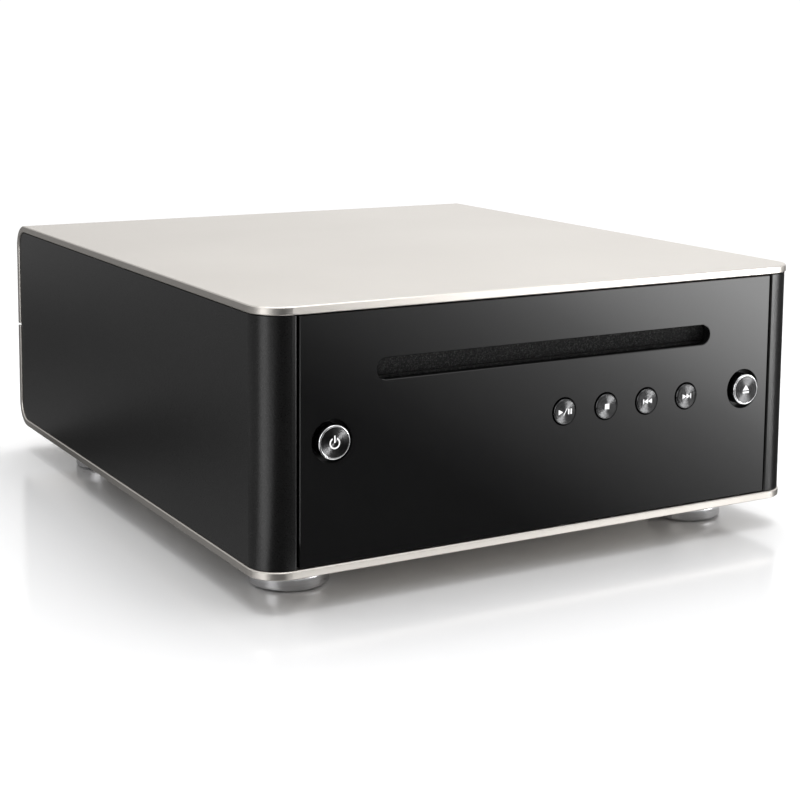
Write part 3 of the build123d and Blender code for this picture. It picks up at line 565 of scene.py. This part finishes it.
# away from the object the sheet fades into the white of the room
t = a.t
dist = t.nodes.new("ShaderNodeVectorMath")
dist.operation = "LENGTH"
t.links.new(a.coord, dist.inputs[0])
fade = t.nodes.new("ShaderNodeMapRange")
fade.interpolation_type = "SMOOTHSTEP"
fade.inputs["From Min"].default_value = 0.34
fade.inputs["From Max"].default_value = 0.85
t.links.new(dist.outputs["Value"], fade.inputs["Value"])
clear = t.nodes.new("ShaderNodeBsdfTransparent")
blend = t.nodes.new("ShaderNodeMixShader")
t.links.new(fade.outputs["Result"], blend.inputs["Fac"])
t.links.new(a.p.outputs["BSDF"], blend.inputs[1])
t.links.new(clear.outputs["BSDF"], blend.inputs[2])
t.links.new(blend.outputs["Shader"], a.out.inputs["Surface"])
S = 4.0
plane("floor", [(-S, -S, 0), (S, -S, 0), (S, S, 0), (-S, S, 0)], a.m)


def card(name, corners, strength_stops, axis_a, axis_b, fan=None):
    """A light card that only reflections see. Brightness runs from axis_a to axis_b, two points in space,
    or, with fan=(x, y, span, low), by the slope of the line from the point (x, y): stops are (slope + low) / span."""
    mt = bpy.data.materials.new(name)
    mt.use_nodes = True
    t = mt.node_tree
    t.nodes.clear()
    out = t.nodes.new("ShaderNodeOutputMaterial")
    em = t.nodes.new("ShaderNodeEmission")
    tc = t.nodes.new("ShaderNodeTexCoord")
    va, vb = Vector(axis_a), Vector(axis_b)
    sub = t.nodes.new("ShaderNodeVectorMath")
    sub.operation = "SUBTRACT"
    sub.inputs[1].default_value = va
    dot = t.nodes.new("ShaderNodeVectorMath")
    dot.operation = "DOT_PRODUCT"
    dd = vb - va
    dot.inputs[1].default_value = dd / dd.length_squared
    cr = t.nodes.new("ShaderNodeValToRGB")
    el = cr.color_ramp.elements
    while len(el) > 1:
        el.remove(el[-1])
    top = max(v for _, v in strength_stops)
    el[0].position, el[0].color = strength_stops[0][0], rgba(strength_stops[0][1] / top)
    for p_, v_ in strength_stops[1:]:
        e = el.new(p_)
        e.color = rgba(v_ / top)
    em.inputs["Strength"].default_value = top
    t.links.new(tc.outputs["Object"], sub.inputs[0])
    t.links.new(sub.outputs["Vector"], dot.inputs[0])
    t.links.new(dot.outputs["Value"], cr.inputs["Fac"])
    if fan:
        sx, sy, span, start = fan
        sep = t.nodes.new("ShaderNodeSeparateXYZ")
        t.links.new(tc.outputs["Object"], sep.inputs["Vector"])
        up = t.nodes.new("ShaderNodeMath")
        up.operation = "SUBTRACT"
        up.inputs[1].default_value = sx
        t.links.new(sep.outputs["X"], up.inputs[0])
        low = t.nodes.new("ShaderNodeMath")
        low.operation = "MULTIPLY_ADD"
        low.inputs[1].default_value = -span
        low.inputs[2].default_value = sy * span
        t.links.new(sep.outputs["Y"], low.inputs[0])
        q = t.nodes.new("ShaderNodeMath")
        q.operation = "DIVIDE"
        t.links.new(up.outputs["Value"], q.inputs[0])
        t.links.new(low.outputs["Value"], q.inputs[1])
        off = t.nodes.new("ShaderNodeMath")
        off.operation = "ADD"
        off.inputs[1].default_value = start / span
        t.links.new(q.outputs["Value"], off.inputs[0])
        t.links.new(off.outputs["Value"], cr.inputs["Fac"])
    t.links.new(cr.outputs["Color"], em.inputs["Color"])
    bf = t.nodes.new("ShaderNodeNewGeometry")
    tr = t.nodes.new("ShaderNodeBsdfTransparent")
    mx = t.nodes.new("ShaderNodeMixShader")
    t.links.new(bf.outputs["Backfacing"], mx.inputs["Fac"])
    t.links.new(em.outputs["Emission"], mx.inputs[1])
    t.links.new(tr.outputs["BSDF"], mx.inputs[2])
    t.links.new(mx.outputs["Shader"], out.inputs["Surface"])
    ob = plane(name, corners, mt)
    ob.visible_camera = False
    ob.visible_diffuse = False
    ob.visible_shadow = False
    ob.visible_transmission = False
    return ob


# low ramp in front on the right: the fascia reflects it
FAN = [(-0.45, 0.80), (-0.20, 0.05), (0.054, 0.06), (0.1075, 0.07), (0.1488, 0.21), (0.1824, 0.42), (0.2145, 0.632), (0.2482, 0.888), (0.285, 1.28), (0.322, 1.86), (0.3925, 3.66), (0.48, 5.7), (0.60, 7.0)]
card("front_card", [(-0.13, -0.126, 0.0008), (-0.70, -0.95, 0.01), (-0.70, -1.6, 0.02), (1.8, -1.6, 0.02), (0.103, -0.126, 0.0008)],
     [((u_ + 0.45) / 1.05, l_) for u_, l_ in FAN],
     (0, 0, 0), (1, 0, 0), fan=(-0.050, 0.475, 1.05, 0.45))
# narrow strip right under the front edge: only the lower band mirrors it
card("band_strip", [(-0.088, -0.1215, 0.0012), (-0.088, -0.149, 0.0012), (0.095, -0.149, 0.0012), (0.095, -0.1215, 0.0012)],
     [(0.0, 2.6), (0.5, 2.0), (1.0, 0.1)], (0, -0.1215, 0), (0, -0.150, 0))
# strip beside the left front corner
card("corner_card", [(-0.71, -0.46, 0.0), (-0.90, -0.13, 0.0), (-0.90, -0.13, 0.7), (-0.71, -0.46, 0.7)],
     [(0.0, 3.4), (1.0, 3.4)], (0, 0, 0), (0, 0, 1))
# dark floor cloth behind on the left
card("left_flag", [(-0.1005, -0.10, 0.0008), (-0.1005, 2.5, 0.0008), (-3.0, 2.5, 0.0008), (-1.2, -0.10, 0.0008)],
     [(0.0, 0.28), (0.10, 0.21), (0.27, 0.12), (0.38, 0.115), (0.6, 0.19), (1.0, 0.34)], (0, 0.05, 0), (0, 1.0, 0))
card("left_flag_far", [(-0.245, -0.09, 0.0011), (-0.245, 2.5, 0.0011), (-3.0, 2.5, 0.0011), (-1.2, -0.09, 0.0011)],
     [(0.0, 0.32), (0.4, 0.27), (1.0, 0.34)], (0, 0.05, 0), (0, 1.0, 0))
card("left_flag_near", [(-0.1008, -0.10, 0.0014), (-0.1008, 0.112, 0.0014), (-0.19, 0.17, 0.0014), (-0.19, -0.06, 0.0014)],
     [(0.0, 0.26), (0.45, 0.19), (0.7, 0.07), (1.0, 0.06)], (0, -0.10, 0), (0, 0.17, 0))

# dark cloth to the right, lying and standing
card("right_flag", [(0.104, -0.118, 0.0008), (1.8, -1.35, 0.0008), (1.8, 0.9, 0.0008), (0.104, 0.12, 0.0008)],
     [(0.0, 0.06), (1.0, 0.06)], (0, 0, 0), (1, 0, 0))
card("right_screen", [(0.62, -0.42, 0.0), (0.86, 0.30, 0.0), (0.86, 0.30, 0.5), (0.62, -0.42, 0.5)],
     [(0.0, 0.06), (1.0, 0.06)], (0, 0, 0), (0, 0, 1))


def area(name, loc, target, size, power, shape="RECTANGLE", size_y=None):
    l = bpy.data.lights.new(name, "AREA")
    l.shape = shape
    l.size = size
    l.size_y = size_y or size
    l.energy = power
    ob = bpy.data.objects.new(name, l)
    ob.location = loc
    ob.rotation_mode = "QUATERNION"
    ob.rotation_quaternion = (Vector(target) - Vector(loc)).to_track_quat("-Z", "Y")
    scene.collection.objects.link(ob)
    ob.visible_camera = False
    return ob


area("overhead", (0.12, 0.12, 1.25), (0, 0, 0), 1.1, 13.0)
box = area("front_right_box", (0.77, -0.80, 0.09), (0.0, -0.118, 0.05), 0.42, 3.5, size_y=0.17)
box.visible_diffuse = False

world = bpy.data.worlds.new("studio")
world.use_nodes = True
t = world.node_tree
t.nodes.clear()
w_out = t.nodes.new("ShaderNodeOutputWorld")
w_tc = t.nodes.new("ShaderNodeTexCoord")


def sky(direction, dark, bright, a0, a1):
    """Brightness of the room by direction: dark towards the given direction."""
    dot = t.nodes.new("ShaderNodeVectorMath")
    dot.operation = "DOT_PRODUCT"
    dot.inputs[1].default_value = Vector(direction).normalized()
    t.links.new(w_tc.outputs["Generated"], dot.inputs[0])
    mr = t.nodes.new("ShaderNodeMapRange")
    mr.interpolation_type = "SMOOTHSTEP"
    mr.inputs["From Min"].default_value = a0
    mr.inputs["From Max"].default_value = a1
    mr.inputs["To Min"].default_value = bright
    mr.inputs["To Max"].default_value = dark
    t.links.new(dot.outputs["Value"], mr.inputs["Value"])
    return mr.outputs["Result"]


room_back = sky((-0.80, 0.60, -0.05), 0.20, 1.08, -0.12, 0.88)
room_front = sky((-0.20, -0.98, 0.0), 0.08, 1.0, 0.45, 0.93)
room_high = sky((0.0, 0.0, 1.0), 0.82, 0.0, 0.12, 0.45)
lift = t.nodes.new("ShaderNodeMath")
lift.operation = "MAXIMUM"
t.links.new(room_back, lift.inputs[0])
t.links.new(room_high, lift.inputs[1])
room_back = lift.outputs["Value"]
both = t.nodes.new("ShaderNodeMath")
both.operation = "MULTIPLY"
t.links.new(room_back, both.inputs[0])
t.links.new(room_front, both.inputs[1])
room = both.outputs["Value"]
w_room = t.nodes.new("ShaderNodeBackground")
w_room.inputs["Color"].default_value = (1, 1, 1, 1)
t.links.new(room, w_room.inputs["Strength"])
w_seen = t.nodes.new("ShaderNodeBackground")
w_seen.inputs["Color"].default_value = (1, 1, 1, 1)
w_seen.inputs["Strength"].default_value = 1.05
w_path = t.nodes.new("ShaderNodeLightPath")
w_mix = t.nodes.new("ShaderNodeMixShader")
t.links.new(w_path.outputs["Is Camera Ray"], w_mix.inputs["Fac"])
t.links.new(w_room.outputs["Background"], w_mix.inputs[1])
t.links.new(w_seen.outputs["Background"], w_mix.inputs[2])
t.links.new(w_mix.outputs["Shader"], w_out.inputs["Surface"])
scene.world = world

YAW, PITCH, ROLL = math.radians(29.789), math.radians(7.221), math.radians(-0.461)
fwd = Vector((math.sin(YAW) * math.cos(PITCH), math.cos(YAW) * math.cos(PITCH), -math.sin(PITCH)))
right = Vector((math.cos(YAW), -math.sin(YAW), 0))
down = fwd.cross(right)
r2 = right * math.cos(ROLL) + down * math.sin(ROLL)
d2 = -right * math.sin(ROLL) + down * math.cos(ROLL)
cam_data = bpy.data.cameras.new("camera")
cam_data.sensor_width = 36.0
cam_data.lens = 75.95
cam_data.shift_y = -0.2
cam_data.clip_start, cam_data.clip_end = 0.01, 100.0
cam = bpy.data.objects.new("camera", cam_data)
scene.collection.objects.link(cam)
m = Matrix((r2, -d2, -fwd)).transposed().to_4x4()
m.translation = Vector((-0.29785, -0.54209, 0.1694))
cam.matrix_world = m
scene.camera = cam

lo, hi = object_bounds()
